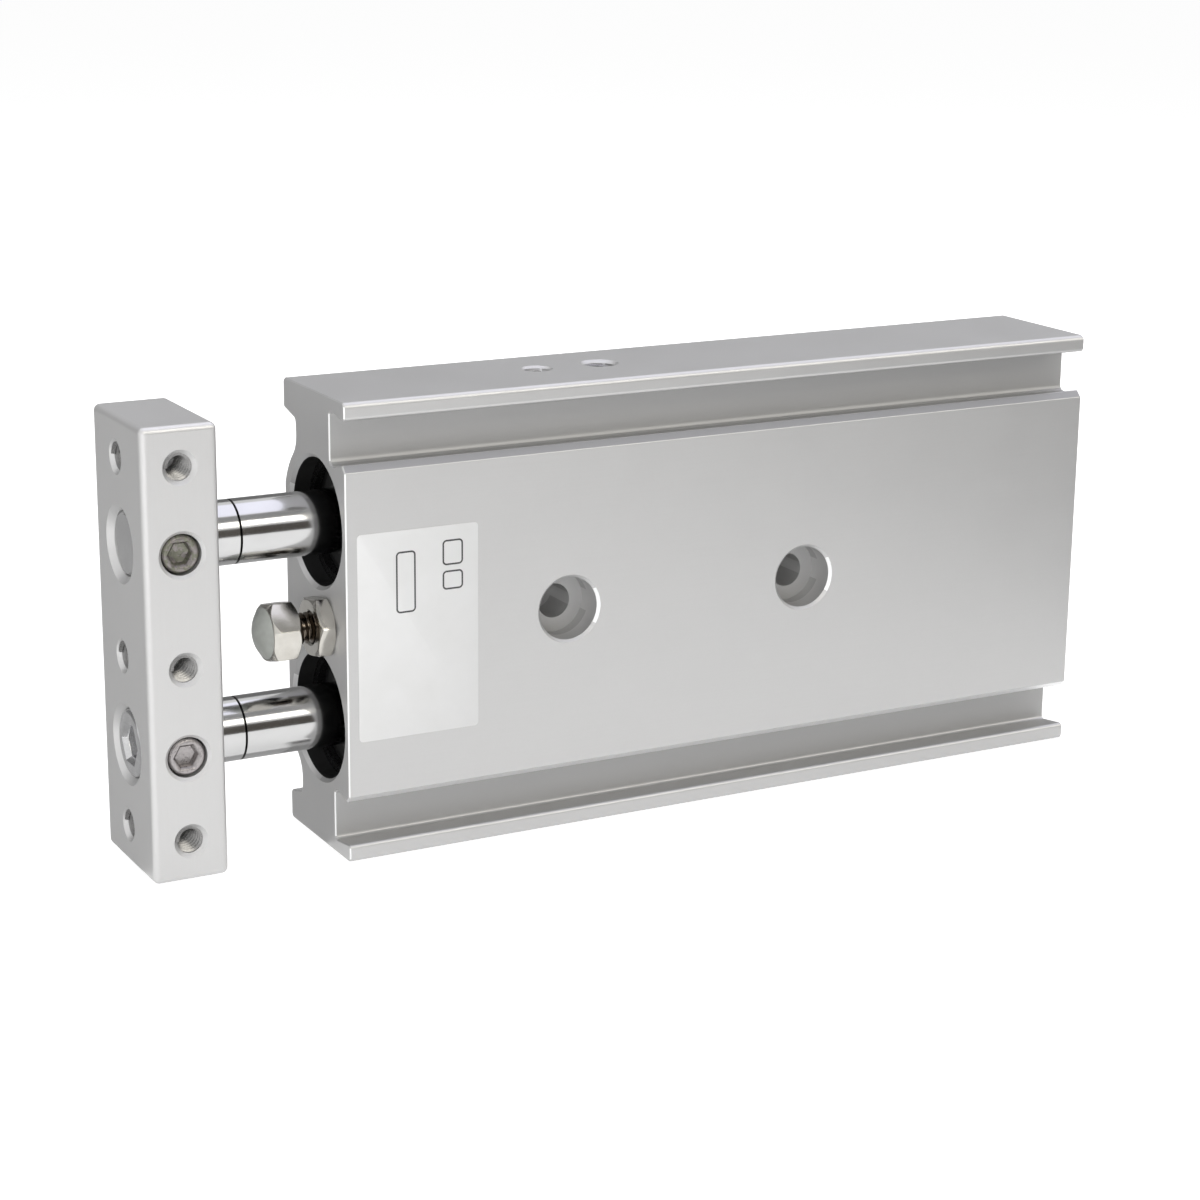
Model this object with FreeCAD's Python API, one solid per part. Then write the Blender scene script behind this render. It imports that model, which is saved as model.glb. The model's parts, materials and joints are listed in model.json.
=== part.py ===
import FreeCAD, Part
import math
import os

# Guided pneumatic cylinder: two parallel pistons in one extruded housing drive one end plate.
# Millimetres, +Z up. The housing stands on a narrow side, and the rods leave it towards -X.
# The origin is under the middle of the whole object, on the surface that it stands on.

V = FreeCAD.Vector

# ---- driving dimensions ----------------------------------------------------------------------
STROKE = 50.0
BODY_L = 60.0 + STROKE          # housing length along X
BODY_W = 58.0                   # housing width, upright (Z)
BODY_T = 19.0                   # housing thickness (Y)
ROD_PITCH = 25.0                # distance between the two rod axes
ROD_D = 8.0
PISTON_BORE = 15.0
PLATE_T, PLATE_D, PLATE_H = 9.5, 17.0, 56.0     # end plate along X, Y and Z
PLATE_GAP = 15.5                # plate to housing as modelled
RETRACT = 6.0                   # travel left before the plate meets the bumper

CLEAR = 0.03                    # radial clearance of a seated piece in its own body
RUN = 0.04                      # radial clearance of a running fit
SLIP = 0.05                     # radial clearance of a thread or a seal

# ---- the frame -------------------------------------------------------------------------------
OVERALL = BODY_L + PLATE_GAP + PLATE_T
FRONT = PLATE_GAP + PLATE_T - OVERALL / 2       # X of the housing's front face
MID_Z = BODY_W / 2
NEAR, FAR = -BODY_T / 2, BODY_T / 2             # the two wide faces
ROWS = {"upper": MID_Z + ROD_PITCH / 2, "lower": MID_Z - ROD_PITCH / 2}

# ---- extrusion profile -----------------------------------------------------------------------
PANEL_H = 21.3                  # half height of the raised front panel
PANEL_CHAMFER = 0.85
PANEL_EDGE_R = 0.2              # both edges of that chamfer
GROOVE_DIP = 0.62               # how far the groove falls away behind the panel's edge
GROOVE_LOW = 3.2                # depth at which it is lowest
GROOVE_SLOPE_R = 1.2
LIP_Z = 26.7                    # lower edge of the front flange, from the middle
NEAR_GROOVE = 4.6               # depth of the front grooves
FAR_GROOVE = 4.0                # depth of the rear grooves
FAR_LIP_Z = 25.2
BARREL_R = 10.0                 # rear wall runs concentric with each bore
EDGE_R = 0.7
FLANGE_EDGE_R = 0.5             # lower outer edge of the front flange
GROOVE_R = 0.8                  # inner corner of a front groove, beside the panel
BARREL_FILLET_R = 3.5           # where a barrel runs out into a rear groove
BARREL_MEETS_FLOOR = 0.2        # how near that groove's depth the two meet
END_CHAMFER = 0.15              # round the outline of each sawn end

# ---- housing stations, from its front face ---------------------------------------------------
SEAT_R = 8.0                    # counterbores for the rod covers and head covers
COVER_X = (3.7, 27.5)           # rod cover
RING_T = 1.0                    # retaining rings
RING_GROOVE_R = 8.45
HEAD_X = (99.2, 105.4)          # head cover
MOUTH_CHAMFER = 0.5
BOLT_HOLES_X = (30.5, 65.5)
CBORE_R, CBORE_DEPTH, BOLT_R = 4.1, 4.4, 2.25
BALL_X, PORT_X, PORT_Y = 31.0, 40.0, 0.8
PORT_R, PORT_DEPTH, DUCT_R = 2.1, 5.5, 1.2
REAR_DUCT_X = 97.8              # duct that joins the two bores behind the pistons
TO_NEAR_BORE = (BODY_W - ROD_PITCH) / 2         # narrow side to the first rod axis
TO_FAR_BORE = TO_NEAR_BORE + ROD_PITCH
REAR_PORT_DEPTH = 8.0
BALL_R, BALL_BELOW, BALL_SQUEEZE = 1.75, 0.25, 0.02

# ---- rod covers, seals and stops -------------------------------------------------------------
SEAL_R, SEAL_L = 6.4, 3.2       # rod seal, flush with the front of the rod cover
BUSH_R = 5.4
BUSH_X = COVER_X[0] + SEAL_L + 0.85
O_RING_SEAT_R = 6.75            # floor of the groove that an O-ring sits in
O_RING_GROOVE = 2.0             # its width
O_RING_R, O_RING_CORD = 7.35, 0.58
COVER_O_RING_X = COVER_X[1] - 4.6
HEAD_O_RING_X = HEAD_X[0] + 2.6
RING_INNER_R = 7.0
LUG_R, LUG_AT, LUG_HOLE_R = 1.35, (2.3, 6.2), 0.55      # circlip lugs: size, place, plier hole
RING_GAP = 2.6
HEAD_BUMPER_R, HEAD_BUMPER_OUT, BUMPER_POCKET = 4.2, 2.8, 1.2
ROD_BUMPER = (4.5, 7.0, 2.4)    # inner and outer radius, thickness

# ---- pistons, at rest ------------------------------------------------------------------------
PISTON_L = 16.0
PISTON_X = 80.0 - RETRACT       # front of the piston as modelled, from the housing's front face
PISTON_R = PISTON_BORE / 2 - RUN
LAND_R = 7.1                    # front land, with room for air to pass
NUT_POCKET = (5.2, 5.0)         # radius and depth behind the piston
SPIGOT_R = 2.5
MAGNET_X = PISTON_X + 3.6       # groove for the magnet
MAGNET_L, MAGNET_SEAT_R, MAGNET_R = 3.2, 5.0, 6.9
PACKING_X = PISTON_X + 11.4     # groove for the piston seal
PACKING_L, PACKING_SEAT_R = 2.4, 5.6
REAR_LAND_X = PISTON_X + 10.6
PISTON_NUT_AF, PISTON_NUT_T = 8.0, 3.2
ROD_MARK_X = -PLATE_GAP + 4.4   # fine ring turned in each rod near the plate
ROD_MARK = 0.15
ROD_SEAT = 6.5                  # depth of the screwed rod's end below the plate's outer face
ROD_PROUD = 0.6                 # depth of the clamped rod's end below it

# ---- bumper bolt -----------------------------------------------------------------------------
BUMPER_Y = -2.8
BUMPER_R = 1.95
HEX_AF = 7.0
NUT_T = 2.2
HEAD_IN, HEAD_OUT = 4.45, 8.1   # bolt head, distances in front of the housing
PAD_H, PAD_R, PAD_SEAT = 1.3, 3.25, 1.6
SHANK_IN = 14.0

# ---- end plate -------------------------------------------------------------------------------
TAP_R, TAP_DEPTH, TAP_CHAMFER = 1.65, 6.0, 0.5
TAP_Z = 23.0                    # tapped holes above and below the middle
MID_TAP_Z = -1.5
SET_R, SET_AF = 2.5, 2.5
PLATE_EDGE_R = 0.8
SCREW_HEAD_R, SCREW_HEAD_H, SCREW_AF = 4.25, 5.0, 4.0
ROD_MOUTH_CHAMFER = 0.8
SCREW_R, SCREW_L = 2.05, 8.4    # its shank in the rod's end
SCREW_BELOW = 0.3               # head below the plate's face
PLATE_X = -PLATE_GAP - PLATE_T  # station of the plate's outer face
PLATE_MID_X = -PLATE_GAP - PLATE_T / 2
PLATE_HOLE_Y = 0.5
SET_BELOW = 0.45                # set screws below the plate's side
SET_CLEAR = 0.1
PLUG_AF, PLUG_L = 2.0, 4.4      # plug of the spare port


def at(x):
    """X in the object's frame of a station measured from the housing's front face."""
    return FRONT + x


def rod(r, x0, x1, z, y=0.0):
    """Round bar along X between two stations."""
    return Part.makeCylinder(r, x1 - x0, V(at(x0), y, z), V(1, 0, 0))


def turned(profile, z, y=0.0):
    """Solid of revolution about an axis along X, from (station, radius) corners."""
    pts = [V(at(x), y, z + r) for x, r in profile]
    wire = Part.makePolygon(pts + pts[:1])
    return Part.Face(wire).revolve(V(0, y, z), V(1, 0, 0), 360)


def o_ring(x, z):
    """Round-section ring about an axis along X."""
    return Part.makeTorus(O_RING_R, O_RING_CORD, V(at(x), 0, z), V(1, 0, 0))


def hexagon(af, x0, x1, z, y=0.0):
    """Hexagonal bar along X with a corner towards -Y."""
    r = af / math.sqrt(3)
    turns = [math.pi + k * math.pi / 3 for k in range(7)]
    pts = [V(at(x0), y + r * math.cos(t), z + r * math.sin(t)) for t in turns]
    return Part.Face(Part.makePolygon(pts)).extrude(V(x1 - x0, 0, 0))


def drilled(point, into, r, depth, chamfer, tip=True):
    """Drill shape: a chamfered mouth, a round hole and a 118 degree point."""
    tip_h = r / math.tan(math.radians(59)) if tip else 0.0
    prof = [(-1, 0), (-1, r + chamfer + 1), (chamfer, r), (depth, r), (depth + tip_h, 0)]
    if chamfer == 0:
        prof[1:3] = [(-1, r)]
    if not tip:
        prof[-1] = (depth, 0)
    side = V(0, 0, 1) if abs(into.z) < 0.5 else V(1, 0, 0)
    pts = [point + into * d + side * r0 for d, r0 in prof]
    face = Part.Face(Part.makePolygon(pts + pts[:1]))
    return face.revolve(point, into, 360)


def rounded_outline(corners, x):
    """Closed wire in the plane X = x through (y, z, radius) corners, each one rounded."""
    edges = []
    last = None
    n = len(corners)
    starts = []
    for i, (y, z, r) in enumerate(corners):
        here = V(x, y, z)
        before = V(x, *corners[i - 1][:2])
        after = V(x, *corners[(i + 1) % n][:2])
        a = (before - here).normalize()
        b = (after - here).normalize()
        if r == 0:
            entry, leave, bend = here, here, None
        else:
            half = a.getAngle(b) / 2
            run = r / math.tan(half)
            entry, leave = here + a * run, here + b * run
            centre = here + (a + b).normalize() * (r / math.sin(half))
            middle = centre + (here - centre).normalize() * r
            bend = Part.Arc(entry, middle, leave).toShape()
        if last is not None:
            edges.append(Part.makeLine(last, entry))
        if bend is not None:
            edges.append(bend)
        starts.append(entry)
        last = leave
    edges.append(Part.makeLine(last, starts[0]))
    return Part.Wire(edges)


def housing_blank():
    """Extruded bar: front panel between two grooves, rear barrels concentric with the bores."""
    floor_near = NEAR + NEAR_GROOVE
    floor_far = FAR - FAR_GROOVE
    top = BODY_W / 2
    half = [
        (NEAR, PANEL_H - PANEL_CHAMFER, PANEL_EDGE_R),
        (NEAR + PANEL_CHAMFER, PANEL_H, PANEL_EDGE_R),
        (NEAR + GROOVE_LOW, PANEL_H - GROOVE_DIP, GROOVE_SLOPE_R),
        (floor_near, PANEL_H - GROOVE_DIP, GROOVE_R), (floor_near, LIP_Z + 0.6, 0.5),
        (NEAR, LIP_Z, FLANGE_EDGE_R), (NEAR, top, EDGE_R), (FAR, top, EDGE_R),
        (FAR, FAR_LIP_Z, 0.5),
        (floor_far + 0.3, FAR_LIP_Z - 0.9, 0.5), (floor_far, ROD_PITCH / 2 + 6.5, 0),
        (floor_far, ROD_PITCH / 2, 0),
    ]
    upper = [(y, MID_Z + z, r) for y, z, r in half]
    lower = [(y, MID_Z - z, r) for y, z, r in reversed(half)]
    bar = Part.Face(rounded_outline(upper + lower, FRONT)).extrude(V(BODY_L, 0, 0))
    for z in ROWS.values():
        barrel = rod(BARREL_R, 0, BODY_L, z)
        slab = Part.makeBox(BODY_L, FAR, 2 * BARREL_R, V(FRONT, 0, z - BARREL_R))
        bar = bar.fuse(barrel.common(slab))
    back = Part.makeBox(BODY_L, FAR, ROD_PITCH, V(FRONT, 0, MID_Z - ROD_PITCH / 2))
    bar = bar.fuse(back).removeSplitter()
    hollows = [edge for edge in bar.Edges if edge.BoundBox.XLength > BODY_L - 1e-3
               and abs(edge.BoundBox.Center.y - floor_far) < BARREL_MEETS_FLOOR]
    bar = bar.makeFillet(BARREL_FILLET_R, hollows)
    outline = [edge for edge in bar.Edges if edge.BoundBox.XLength < 1e-6]
    return bar.makeChamfer(END_CHAMFER, outline)


def bore_cutter(z):
    """One stepped bore: seats for both covers, ring grooves and chamfered mouths."""
    r = PISTON_BORE / 2
    ring0 = COVER_X[0] - RING_T - 0.1
    ring1 = HEAD_X[1]
    c = MOUTH_CHAMFER
    return turned([
        (-1, 0), (-1, SEAT_R + c + 1), (c, SEAT_R), (ring0, SEAT_R), (ring0, RING_GROOVE_R),
        (COVER_X[0], RING_GROOVE_R), (COVER_X[0], SEAT_R), (COVER_X[1], SEAT_R),
        (COVER_X[1] + 0.4, r), (HEAD_X[0] - 0.4, r), (HEAD_X[0], SEAT_R), (ring1, SEAT_R),
        (ring1, RING_GROOVE_R), (ring1 + RING_T + 0.1, RING_GROOVE_R),
        (ring1 + RING_T + 0.1, SEAT_R), (BODY_L - c, SEAT_R), (BODY_L + 1, SEAT_R + c + 1),
        (BODY_L + 1, 0),
    ], z)


def closed_duct(x, z_from, into, reach):
    """Duct drilled from a narrow side into the bores, with a seat for its closing ball."""
    start = V(at(x), PORT_Y, z_from)
    seat = drilled(start, into, BALL_R, 2 * BALL_R, 0.3, tip=False)
    return seat.fuse(drilled(start, into, DUCT_R, reach, 0, tip=False))


def port(x, z_from, into):
    """Threaded air port in a narrow side; its duct crosses the near bore into the far one."""
    start = V(at(x), PORT_Y, z_from)
    duct = drilled(start, into, DUCT_R, TO_FAR_BORE, 0, tip=False)
    return drilled(start, into, PORT_R, PORT_DEPTH, 0.4).fuse(duct)


def housing():
    down, up = V(0, 0, -1), V(0, 0, 1)
    cutters = [bore_cutter(z) for z in ROWS.values()]
    for x in BOLT_HOLES_X:
        for y, into in ((NEAR, V(0, 1, 0)), (FAR, V(0, -1, 0))):
            cutters.append(drilled(V(at(x), y, MID_Z), into, CBORE_R, CBORE_DEPTH, 0.35, tip=False))
        cutters.append(Part.makeCylinder(BOLT_R, BODY_T, V(at(x), NEAR, MID_Z), V(0, 1, 0)))
    cutters.append(closed_duct(BALL_X, BODY_W, down, TO_NEAR_BORE))
    cutters.append(closed_duct(REAR_DUCT_X, 0, up, TO_FAR_BORE))
    cutters.append(port(PORT_X, BODY_W, down))
    cutters.append(port(PORT_X, 0, up))
    rear = V(at(BODY_L), PORT_Y, MID_Z)
    cutters.append(drilled(rear, V(-1, 0, 0), PORT_R, REAR_PORT_DEPTH, 0.4))
    reach = BODY_L - REAR_DUCT_X
    cutters.append(drilled(rear, V(-1, 0, 0), DUCT_R, reach, 0, tip=False))
    bolt_hole = drilled(V(at(0), BUMPER_Y, MID_Z), V(1, 0, 0), BUMPER_R + SLIP, SHANK_IN + 2, 0.3)
    cutters.append(bolt_hole)
    return housing_blank().cut(cutters)


def rod_cover(z):
    """Aluminium rod guide: seal pocket at the front, bush bore, and an O-ring groove outside."""
    x0, x1 = COVER_X
    outer = SEAT_R - CLEAR
    pocket = SEAL_R + CLEAR
    bore = BUSH_R + CLEAR
    wall = BUSH_X - 0.05
    groove = COVER_O_RING_X - O_RING_GROOVE / 2
    return turned([
        (x0, pocket), (x0, outer - 0.3), (x0 + 0.3, outer), (groove, outer),
        (groove, O_RING_SEAT_R), (groove + O_RING_GROOVE, O_RING_SEAT_R),
        (groove + O_RING_GROOVE, outer), (x1 - 0.5, outer), (x1, outer - 0.8), (x1, bore),
        (wall, bore), (wall, 4.6), (x0 + SEAL_L, 4.6), (x0 + SEAL_L, pocket),
    ], z)


def rod_seal(z):
    """Moulded rod seal with a wiper lip at the front and a U groove behind it."""
    x0 = COVER_X[0]
    r = ROD_D / 2 + SLIP
    return turned([
        (x0, 4.75), (x0 - 0.5, 4.4), (x0 - 0.4, r), (x0 + 0.5, r), (x0 + 0.8, r + 0.4),
        (x0 + 2.0, r + 0.4), (x0 + 2.4, r), (x0 + SEAL_L, r), (x0 + SEAL_L, r + 0.5),
        (x0 + 1.9, 5.2), (x0 + SEAL_L, 5.9), (x0 + SEAL_L, SEAL_R), (x0, SEAL_R),
    ], z)


def bush(z):
    """Sintered bearing bush pressed into the rod cover."""
    x0 = BUSH_X
    r = ROD_D / 2 + RUN
    return turned([
        (x0, r + 0.3), (x0 + 0.3, r), (COVER_X[1] - 0.3, r), (COVER_X[1], r + 0.3),
        (COVER_X[1], BUSH_R), (x0, BUSH_R),
    ], z)


def retaining_ring(x0, z, turn):
    """Internal circlip with two drilled lugs beside its gap."""
    outer = RING_GROOVE_R - CLEAR
    x1 = x0 + RING_T
    lug_side, lug_z = LUG_AT
    ring = rod(outer, x0, x1, z).cut(rod(RING_INNER_R, x0 - 1, x1 + 1, z))
    ring = ring.cut(Part.makeBox(RING_T + 2, RING_GAP, 12, V(at(x0 - 1), -RING_GAP / 2, z)))
    for lug_y in (-lug_side, lug_side):
        lug = rod(LUG_R, x0, x1, z + lug_z, lug_y)
        neck = Part.makeBox(RING_T, 1.6, 1.8, V(at(x0), lug_y - 0.8, z + lug_z))
        lug = lug.fuse(neck).common(rod(outer, x0, x1, z))
        ring = ring.fuse(lug).cut(rod(LUG_HOLE_R, x0 - 1, x1 + 1, z + lug_z, lug_y))
    ring = ring.removeSplitter()
    ring.rotate(V(0, 0, z), V(1, 0, 0), turn)
    return ring


def head_cover(z):
    """Rear closing disc: O-ring groove outside, bumper pocket in front, dished back."""
    x0, x1 = HEAD_X
    outer = SEAT_R - CLEAR
    back = x1 - 0.02
    pocket = x0 + BUMPER_POCKET
    groove = HEAD_O_RING_X - O_RING_GROOVE / 2
    return turned([
        (pocket, 0), (pocket, HEAD_BUMPER_R), (x0, HEAD_BUMPER_R), (x0, outer - 0.3),
        (x0 + 0.3, outer), (groove, outer), (groove, O_RING_SEAT_R),
        (groove + O_RING_GROOVE, O_RING_SEAT_R), (groove + O_RING_GROOVE, outer), (back, outer),
        (back, 6.2), (x1 - 1.2, 5.6), (x1 - 1.2, 0),
    ], z)


def head_bumper(z):
    """Urethane stop set in the head cover."""
    r = HEAD_BUMPER_R - CLEAR
    x0 = HEAD_X[0] - HEAD_BUMPER_OUT
    x1 = HEAD_X[0] + BUMPER_POCKET
    return turned([(x0, 0), (x0, r - 0.6), (x0 + 0.6, r), (x1, r), (x1, 0)], z)


def rod_bumper(z):
    """Urethane washer that the piston meets at the end of its outward stroke."""
    x0 = COVER_X[1]
    inner, outer, thick = ROD_BUMPER
    return turned([(x0, inner), (x0, outer), (x0 + thick - 0.4, outer),
                   (x0 + thick, outer - 0.4), (x0 + thick, inner)], z)


def piston_rod(name, z):
    """Hard-chromed rod: fine ring groove near the plate, threaded spigot for the piston."""
    r = ROD_D / 2
    end = PLATE_X + (ROD_PROUD if name == "upper" else ROD_SEAT)
    tail = PISTON_X + PISTON_L - 0.8
    bar = turned([
        (end, 0), (end, r - 0.4), (end + 0.4, r), (ROD_MARK_X - ROD_MARK, r),
        (ROD_MARK_X, r - ROD_MARK), (ROD_MARK_X + ROD_MARK, r), (PISTON_X, r),
        (PISTON_X, SPIGOT_R), (tail - 0.4, SPIGOT_R), (tail, SPIGOT_R - 0.4), (tail, 0),
    ], z)
    if name == "lower":
        bar = bar.cut(rod(SCREW_R + SLIP, end - 1, end + 9.0, z))
    return bar


def piston(z):
    """Aluminium piston: grooves for the magnet and the seal, pocket for the nut behind."""
    x0, x1 = PISTON_X, PISTON_X + PISTON_L
    pocket_r, pocket_l = NUT_POCKET
    hole = SPIGOT_R + CLEAR
    magnet_x1 = MAGNET_X + MAGNET_L
    packing_x1 = PACKING_X + PACKING_L
    return turned([
        (x0, hole), (x0, 5.6), (x0 + 1.0, LAND_R), (MAGNET_X, LAND_R),
        (MAGNET_X, MAGNET_SEAT_R), (magnet_x1, MAGNET_SEAT_R), (magnet_x1, LAND_R),
        (REAR_LAND_X, LAND_R), (REAR_LAND_X, PISTON_R), (PACKING_X, PISTON_R),
        (PACKING_X, PACKING_SEAT_R), (packing_x1, PACKING_SEAT_R), (packing_x1, PISTON_R),
        (x1 - 0.6, PISTON_R), (x1, PISTON_R - 0.6), (x1, pocket_r), (x1 - pocket_l, pocket_r),
        (x1 - pocket_l, hole),
    ], z)


def magnet(z):
    """Ring magnet that a switch in the side groove senses."""
    x0 = MAGNET_X + 0.1
    x1 = MAGNET_X + MAGNET_L - 0.1
    inner = MAGNET_SEAT_R + CLEAR
    return turned([(x0, inner), (x0, MAGNET_R), (x1, MAGNET_R), (x1, inner)], z)


def piston_seal(z):
    """Double-lipped piston seal."""
    x0 = PACKING_X + 0.1
    x1 = PACKING_X + PACKING_L - 0.1
    lip = PISTON_BORE / 2 - SLIP
    inner = PACKING_SEAT_R + CLEAR
    return turned([
        (x0, inner), (x0, lip - 0.3), (x0 + 0.3, lip), (x0 + 0.8, lip - 0.4),
        (x1 - 0.8, lip - 0.4), (x1 - 0.3, lip), (x1, lip - 0.3), (x1, inner),
    ], z)


def piston_nut(z):
    """Thin nut that holds the piston against the rod's shoulder."""
    x0 = PISTON_X + PISTON_L - NUT_POCKET[1]
    x1 = x0 + PISTON_NUT_T
    corner = PISTON_NUT_AF / math.sqrt(3)
    nut = hexagon(PISTON_NUT_AF, x0, x1, z).cut(rod(SPIGOT_R + CLEAR, x0 - 1, x1 + 1, z))
    return nut.common(turned([
        (x0, 0), (x0, corner), (x1 - 0.4, corner), (x1, corner - 0.6), (x1, 0)], z))


def end_plate():
    """Milled plate: two rod holes, tapped holes on its outer face and on its near side."""
    x0 = PLATE_X
    block = Part.makeBox(PLATE_T, PLATE_D, PLATE_H, V(at(x0), -PLATE_D / 2, MID_Z - PLATE_H / 2))
    block = block.makeFillet(PLATE_EDGE_R, block.Edges)
    inward, across = V(1, 0, 0), V(0, 1, 0)
    x_mid = at(PLATE_MID_X)
    set_depth = (PLATE_D - ROD_D) / 2 + SET_CLEAR
    rod_hole = ROD_D / 2 + CLEAR
    cutters = []
    for z in (MID_Z + TAP_Z, MID_Z + MID_TAP_Z, MID_Z - TAP_Z):
        for mouth, into in ((V(at(x0), PLATE_HOLE_Y, z), inward),
                            (V(x_mid, -PLATE_D / 2, z), across)):
            cutters.append(drilled(mouth, into, TAP_R, TAP_DEPTH, TAP_CHAMFER))
    for z in ROWS.values():
        mouth = V(x_mid, -PLATE_D / 2, z)
        cutters.append(drilled(mouth, across, SET_R + CLEAR, set_depth, 0.4, tip=False))
    clamped, screwed = V(at(x0), 0, ROWS["upper"]), V(at(x0), 0, ROWS["lower"])
    cutters += [
        drilled(clamped, inward, rod_hole, PLATE_T + 1, ROD_MOUTH_CHAMFER, tip=False),
        drilled(screwed, inward, SCREW_HEAD_R + 0.1, SCREW_HEAD_H + SCREW_BELOW,
                ROD_MOUTH_CHAMFER, tip=False),
        rod(rod_hole, x0 + ROD_SEAT, 0, ROWS["lower"]),
        rod(2.6, x0, 0, ROWS["lower"]),
    ]
    return block.cut(cutters)


def plate_screw():
    """Socket-head cap screw that pulls the plate on to the lower rod."""
    x0 = PLATE_X + SCREW_BELOW
    z = ROWS["lower"]
    under = x0 + SCREW_HEAD_H
    r = SCREW_HEAD_R
    end = under + SCREW_L
    body = turned([
        (x0, 0), (x0, r - 0.5), (x0 + 0.5, r), (under, r), (under, SCREW_R),
        (end - 0.4, SCREW_R), (end, SCREW_R - 0.45), (end, 0),
    ], z)
    return body.cut(hexagon(SCREW_AF, x0 - 1, x0 + 2.5, z))


def set_screw(z, tip_y):
    """Hexagon-socket set screw in the near side of the plate."""
    y0 = -PLATE_D / 2 + SET_BELOW
    start = V(at(PLATE_MID_X), y0, z)
    screw = Part.makeCylinder(SET_R, tip_y - y0, start, V(0, 1, 0))
    rim = [e for e in screw.Edges if e.Curve.TypeId == "Part::GeomCircle"]
    screw = screw.makeChamfer(0.35, rim)
    r = SET_AF / math.sqrt(3)
    turns = [k * math.pi / 3 for k in range(7)]
    pts = [start + V(r * math.cos(t), -1, r * math.sin(t)) for t in turns]
    return screw.cut(Part.Face(Part.makePolygon(pts)).extrude(V(0, 3.0, 0)))


def chamfered_hex(x0, x1):
    """Hexagonal bolt head or nut on the bumper's axis, its corners turned off at both ends."""
    corner = HEX_AF / math.sqrt(3)
    round_r = HEX_AF / 2 - 0.05
    drop = (corner - round_r) * math.tan(math.radians(30))
    prof = [(x0, 0), (x0, round_r), (x0 + drop, corner), (x1 - drop, corner), (x1, round_r), (x1, 0)]
    return hexagon(HEX_AF, x0, x1, MID_Z, BUMPER_Y).common(turned(prof, MID_Z, BUMPER_Y))


def bumper_bolt():
    """Stroke-adjusting bolt, its head hollowed for the urethane pad."""
    head = chamfered_hex(-HEAD_OUT, -HEAD_IN)
    shank = turned([
        (-HEAD_IN, 0), (-HEAD_IN, BUMPER_R), (SHANK_IN - 0.5, BUMPER_R),
        (SHANK_IN, BUMPER_R - 0.5), (SHANK_IN, 0),
    ], MID_Z, BUMPER_Y)
    pocket = rod(PAD_R + CLEAR, -HEAD_OUT, -HEAD_OUT + PAD_SEAT, MID_Z, BUMPER_Y)
    return head.cut(pocket).fuse(shank).removeSplitter()


def bumper_pad():
    """Domed urethane pad that the plate lands on."""
    ball_r = (PAD_R ** 2 + PAD_H ** 2) / (2 * PAD_H)
    plug = rod(PAD_R, -HEAD_OUT, -HEAD_OUT + PAD_SEAT, MID_Z, BUMPER_Y)
    centre = V(at(-HEAD_OUT - PAD_H + ball_r), BUMPER_Y, MID_Z)
    cap = Part.makeSphere(ball_r, centre).common(
        rod(PAD_R, -HEAD_OUT - PAD_H - 1, -HEAD_OUT, MID_Z, BUMPER_Y))
    return plug.fuse(cap).removeSplitter()


def lock_nut():
    """Nut that locks the bumper bolt against the housing."""
    hole = rod(BUMPER_R + SLIP, -NUT_T - 1, 1, MID_Z, BUMPER_Y)
    return chamfered_hex(-NUT_T, 0).cut(hole)


def duct_balls():
    """Steel balls pressed in to close the two cross ducts."""
    top = Part.makeSphere(BALL_R - BALL_SQUEEZE, V(at(BALL_X), PORT_Y, BODY_W - BALL_R - BALL_BELOW))
    bottom = Part.makeSphere(BALL_R - BALL_SQUEEZE, V(at(REAR_DUCT_X), PORT_Y, BALL_R + BALL_BELOW))
    return Part.makeCompound([top, bottom])


def port_plug():
    """Hexagon-socket plug in the spare port underneath."""
    base = V(at(PORT_X), PORT_Y, 0.4)
    plug = Part.makeCylinder(PORT_R - CLEAR, PLUG_L, base, V(0, 0, 1))
    r = PLUG_AF / math.sqrt(3)
    turns = [k * math.pi / 3 for k in range(7)]
    pts = [base + V(r * math.cos(t), r * math.sin(t), -1) for t in turns]
    return plug.cut(Part.Face(Part.makePolygon(pts)).extrude(V(0, 0, 3)))


def main():
    parts = {"housing": housing(), "end_plate": end_plate()}
    for name, z in ROWS.items():
        parts["piston_rod_" + name] = piston_rod(name, z)
        parts["piston_" + name] = piston(z)
        parts["piston_seal_" + name] = piston_seal(z)
        parts["piston_magnet_" + name] = magnet(z)
        parts["piston_nut_" + name] = piston_nut(z)
        parts["rod_cover_" + name] = rod_cover(z)
        parts["rod_seal_" + name] = rod_seal(z)
        parts["rod_bush_" + name] = bush(z)
        parts["rod_bumper_" + name] = rod_bumper(z)
        parts["cover_o_ring_" + name] = o_ring(COVER_O_RING_X, z)
        parts["front_retaining_ring_" + name] = retaining_ring(COVER_X[0] - RING_T - 0.05, z, 135)
        parts["head_cover_" + name] = head_cover(z)
        parts["head_o_ring_" + name] = o_ring(HEAD_O_RING_X, z)
        parts["head_bumper_" + name] = head_bumper(z)
        parts["rear_retaining_ring_" + name] = retaining_ring(HEAD_X[1] + 0.03, z, 90)
    parts["set_screw_upper"] = set_screw(ROWS["upper"], -ROD_D / 2)
    parts["set_screw_lower"] = set_screw(ROWS["lower"], -SCREW_HEAD_R)
    parts["plate_screw"] = plate_screw()
    parts["bumper_bolt"] = bumper_bolt()
    parts["bumper_pad"] = bumper_pad()
    parts["lock_nut"] = lock_nut()
    parts["duct_balls"] = duct_balls()
    parts["port_plug"] = port_plug()

    os.makedirs("parts", exist_ok=True)
    for node, shape in parts.items():
        shape.exportStep("parts/" + node + ".step")
        box = shape.BoundBox
        print(node, len(shape.Solids), shape.isValid(), round(shape.Volume, 1),
              [round(v, 2) for v in (box.XMin, box.XMax, box.YMin, box.YMax, box.ZMin, box.ZMax)])


main()
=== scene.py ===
import json
import math

import bpy
from mathutils import Matrix, Vector


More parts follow.
